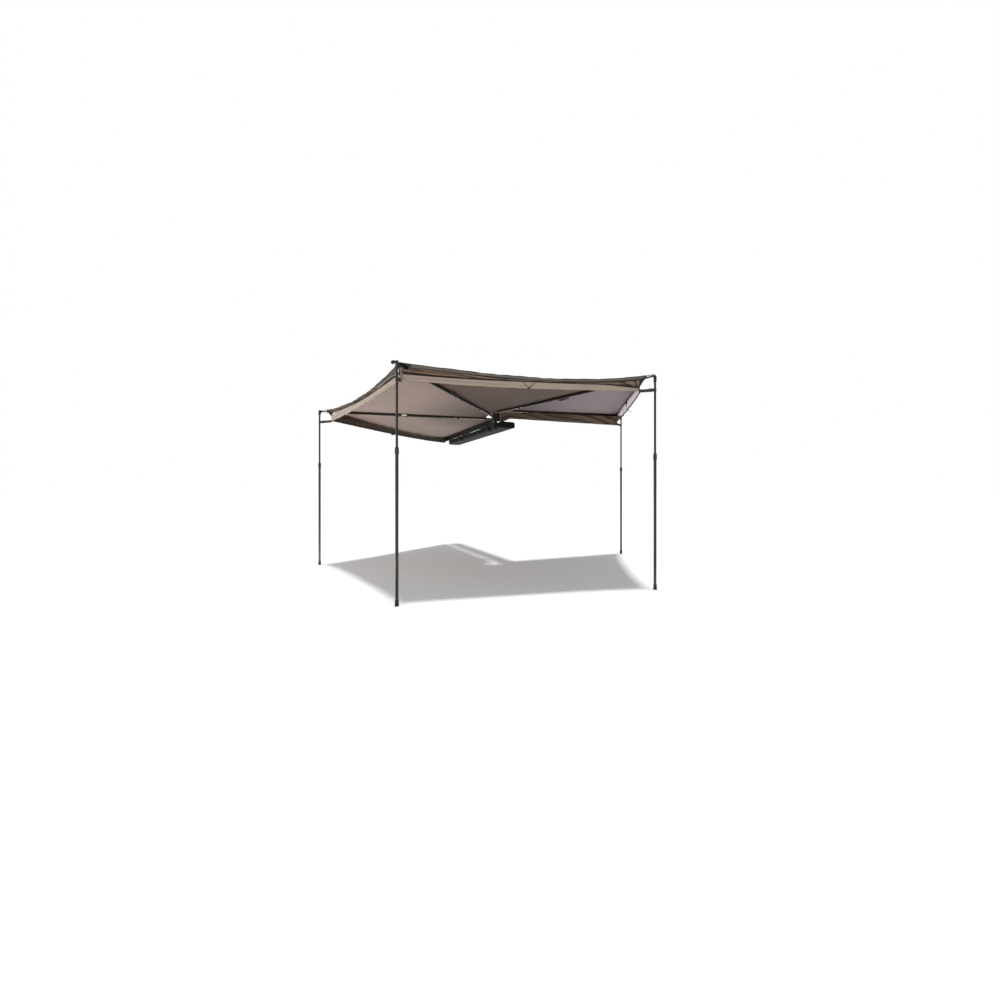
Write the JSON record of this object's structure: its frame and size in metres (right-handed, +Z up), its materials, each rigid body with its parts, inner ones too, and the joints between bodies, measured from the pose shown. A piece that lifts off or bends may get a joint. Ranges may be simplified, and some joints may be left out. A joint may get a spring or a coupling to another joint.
{
  "type": "vehicle side awning",
  "caption": "Fan-shaped awning that swings out on rafters round a hub at the end of a roof rail, with folding telescoping legs and canopy panels with hanging skirts.",
  "frame": {"origin": "underside of the rear rack bracket's foot, where it rests on the rear crossbar", "axes": "+Z up; +Y the vehicle's forward direction, along the base rail; +X across the roof, to the vehicle's right"},
  "size_m": [3.8857, 3.9497, 1.9317],
  "materials": {
    "black_anodised_tube": "satin black anodised",
    "black_rail": "satin black anodised",
    "black_steel_plate": "fine-textured black powder coat",
    "zinc_fastener": "bright zinc plate",
    "black_cast_fitting": "black coated casting",
    "black_moulded_nylon": "matt moulded nylon",
    "natural_nylon_bush": "natural nylon",
    "foot_rubber": "matt rubber",
    "taupe_canvas": "coated woven ripstop, taupe",
    "black_webbing": "woven polyester webbing",
    "black_vinyl": "PVC-coated polyester, semi-gloss black"
  },
  "bodies": {
    "base": {"base_rail": "black_rail", "rail_end_cap": "black_moulded_nylon", "hub_bracket": "black_steel_plate", "king_pin": "zinc_fastener", "king_pin_bush": "natural_nylon_bush", "rack_bracket_rear": "black_steel_plate", "rack_bracket_front": "black_steel_plate", "rack_bolt_rear": "zinc_fastener", "rack_bolt_front": "zinc_fastener", "storage_bag": "black_vinyl"},
    "rafter_a": {"hinge_knuckle_a": "black_cast_fitting", "rafter_a": "black_anodised_tube", "leg_clip_a": "black_moulded_nylon", "rafter_tip_a": "black_cast_fitting", "corner_strap_a": "black_webbing", "canopy_rail_a": "taupe_canvas"},
    "leg_top_a": {"leg_head_a": "black_moulded_nylon", "leg_upper_a": "black_anodised_tube"},
    "leg_bottom_a": {"leg_lower_a": "black_anodised_tube", "leg_foot_a": "foot_rubber"},
    "collar_a": {"twist_collar_a": "black_moulded_nylon"},
    "knob_a": {"clamp_knob_a": "black_moulded_nylon"},
    "rafter_b": {"hinge_knuckle_b": "black_cast_fitting", "rafter_b": "black_anodised_tube", "leg_clip_b": "black_moulded_nylon", "rafter_tip_b": "black_cast_fitting", "corner_strap_b": "black_webbing", "canopy_a_b": "taupe_canvas"},
    "leg_top_b": {"leg_head_b": "black_moulded_nylon", "leg_upper_b": "black_anodised_tube"},
    "leg_bottom_b": {"leg_lower_b": "black_anodised_tube", "leg_foot_b": "foot_rubber"},
    "collar_b": {"twist_collar_b": "black_moulded_nylon"},
    "knob_b": {"clamp_knob_b": "black_moulded_nylon"},
    "rafter_c": {"hinge_knuckle_c": "black_cast_fitting", "rafter_c": "black_anodised_tube", "leg_clip_c": "black_moulded_nylon", "rafter_tip_c": "black_cast_fitting", "corner_strap_c": "black_webbing", "canopy_b_c": "taupe_canvas"},
    "leg_top_c": {"leg_head_c": "black_moulded_nylon", "leg_upper_c": "black_anodised_tube"},
    "leg_bottom_c": {"leg_lower_c": "black_anodised_tube", "leg_foot_c": "foot_rubber"},
    "collar_c": {"twist_collar_c": "black_moulded_nylon"},
    "knob_c": {"clamp_knob_c": "black_moulded_nylon"},
    "rafter_d": {"hinge_knuckle_d": "black_cast_fitting", "rafter_d": "black_anodised_tube", "leg_clip_d": "black_moulded_nylon", "rafter_tip_d": "black_cast_fitting", "corner_strap_d": "black_webbing", "canopy_c_d": "taupe_canvas", "edge_flap_d": "taupe_canvas"},
    "leg_top_d": {"leg_head_d": "black_moulded_nylon", "leg_upper_d": "black_anodised_tube"},
    "leg_bottom_d": {"leg_lower_d": "black_anodised_tube", "leg_foot_d": "foot_rubber"},
    "collar_d": {"twist_collar_d": "black_moulded_nylon"},
    "knob_d": {"clamp_knob_d": "black_moulded_nylon"}
  },
  "joints": [
    {"name": "fan_a", "type": "hinge", "parent": "base", "child": "rafter_a", "pos_m": [-0.07, -0.34, 0.108], "axis": [0, 0, -1], "range_deg": [0, 67.5], "deforming": ["canopy_rail_a"]},
    {"name": "leg_fold_a", "type": "hinge", "parent": "rafter_a", "child": "leg_top_a", "pos_m": [-1.96626, 0.44546, 0.19215], "axis": [-0.3827, -0.9239, 0], "range_deg": [0, 86.8], "deforming": ["corner_strap_a"]},
    {"name": "leg_slide_a", "type": "slide", "parent": "leg_top_a", "child": "leg_bottom_a", "axis": [0, 0, 1], "range_m": [0, 0.42]},
    {"name": "collar_twist_a", "type": "hinge", "parent": "leg_bottom_a", "child": "collar_a", "pos_m": [-1.97621, 0.42144, -0.45], "axis": [0, 0, 1], "range_deg": [0, 90]},
    {"name": "knob_turn_a", "type": "hinge", "parent": "rafter_a", "child": "knob_a", "pos_m": [-1.96626, 0.44546, 0.19215], "axis": [-0.3827, -0.9239, 0], "continuous": true},
    {"name": "fan_b", "type": "hinge", "parent": "rafter_a", "child": "rafter_b", "pos_m": [-0.07, -0.34, 0.143], "axis": [0, 0, -1], "range_deg": [0, 67.5], "deforming": ["canopy_a_b"]},
    {"name": "leg_fold_b", "type": "hinge", "parent": "rafter_b", "child": "leg_top_b", "pos_m": [-1.49659, -1.76659, 0.22572], "axis": [0.7071, -0.7071, 0], "range_deg": [0, 86.8], "deforming": ["corner_strap_b"]},
    {"name": "leg_slide_b", "type": "slide", "parent": "leg_top_b", "child": "leg_bottom_b", "axis": [0, 0, 1], "range_m": [0, 0.42]},
    {"name": "collar_twist_b", "type": "hinge", "parent": "leg_bottom_b", "child": "collar_b", "pos_m": [-1.4782, -1.78497, -0.45], "axis": [0, 0, 1], "range_deg": [0, 90]},
    {"name": "knob_turn_b", "type": "hinge", "parent": "rafter_b", "child": "knob_b", "pos_m": [-1.49659, -1.76659, 0.22572], "axis": [0.7071, -0.7071, 0], "continuous": true},
    {"name": "fan_c", "type": "hinge", "parent": "rafter_b", "child": "rafter_c", "pos_m": [-0.07, -0.34, 0.178], "axis": [0, 0, -1], "range_deg": [0, 67.5], "deforming": ["canopy_b_c"]},
    {"name": "leg_fold_c", "type": "hinge", "parent": "rafter_c", "child": "leg_top_c", "pos_m": [0.68867, -2.17159, 0.25928], "axis": [0.9239, 0.3827, 0], "range_deg": [0, 86.8], "deforming": ["corner_strap_c"]},
    {"name": "leg_slide_c", "type": "slide", "parent": "leg_top_c", "child": "leg_bottom_c", "axis": [0, 0, 1], "range_m": [0, 0.42]},
    {"name": "collar_twist_c", "type": "hinge", "parent": "leg_bottom_c", "child": "collar_c", "pos_m": [0.71269, -2.16164, -0.45], "axis": [0, 0, 1], "range_deg": [0, 90]},
    {"name": "knob_turn_c", "type": "hinge", "parent": "rafter_c", "child": "knob_c", "pos_m": [0.68867, -2.17159, 0.25928], "axis": [0.9239, 0.3827, 0], "continuous": true},
    {"name": "fan_d", "type": "hinge", "parent": "rafter_c", "child": "rafter_d", "pos_m": [-0.07, -0.34, 0.213], "axis": [0, 0, -1], "range_deg": [0, 67.5], "deforming": ["canopy_c_d", "edge_flap_d"]},
    {"name": "leg_fold_d", "type": "hinge", "parent": "rafter_d", "child": "leg_top_d", "pos_m": [1.8775, -0.34, 0.29285], "axis": [0, 1, 0], "range_deg": [0, 86.8], "deforming": ["corner_strap_d"]},
    {"name": "leg_slide_d", "type": "slide", "parent": "leg_top_d", "child": "leg_bottom_d", "axis": [0, 0, 1], "range_m": [0, 0.42]},
    {"name": "collar_twist_d", "type": "hinge", "parent": "leg_bottom_d", "child": "collar_d", "pos_m": [1.8775, -0.314, -0.45], "axis": [0, 0, 1], "range_deg": [0, 90]},
    {"name": "knob_turn_d", "type": "hinge", "parent": "rafter_d", "child": "knob_d", "pos_m": [1.8775, -0.34, 0.29285], "axis": [0, 1, 0], "continuous": true}
  ]
}
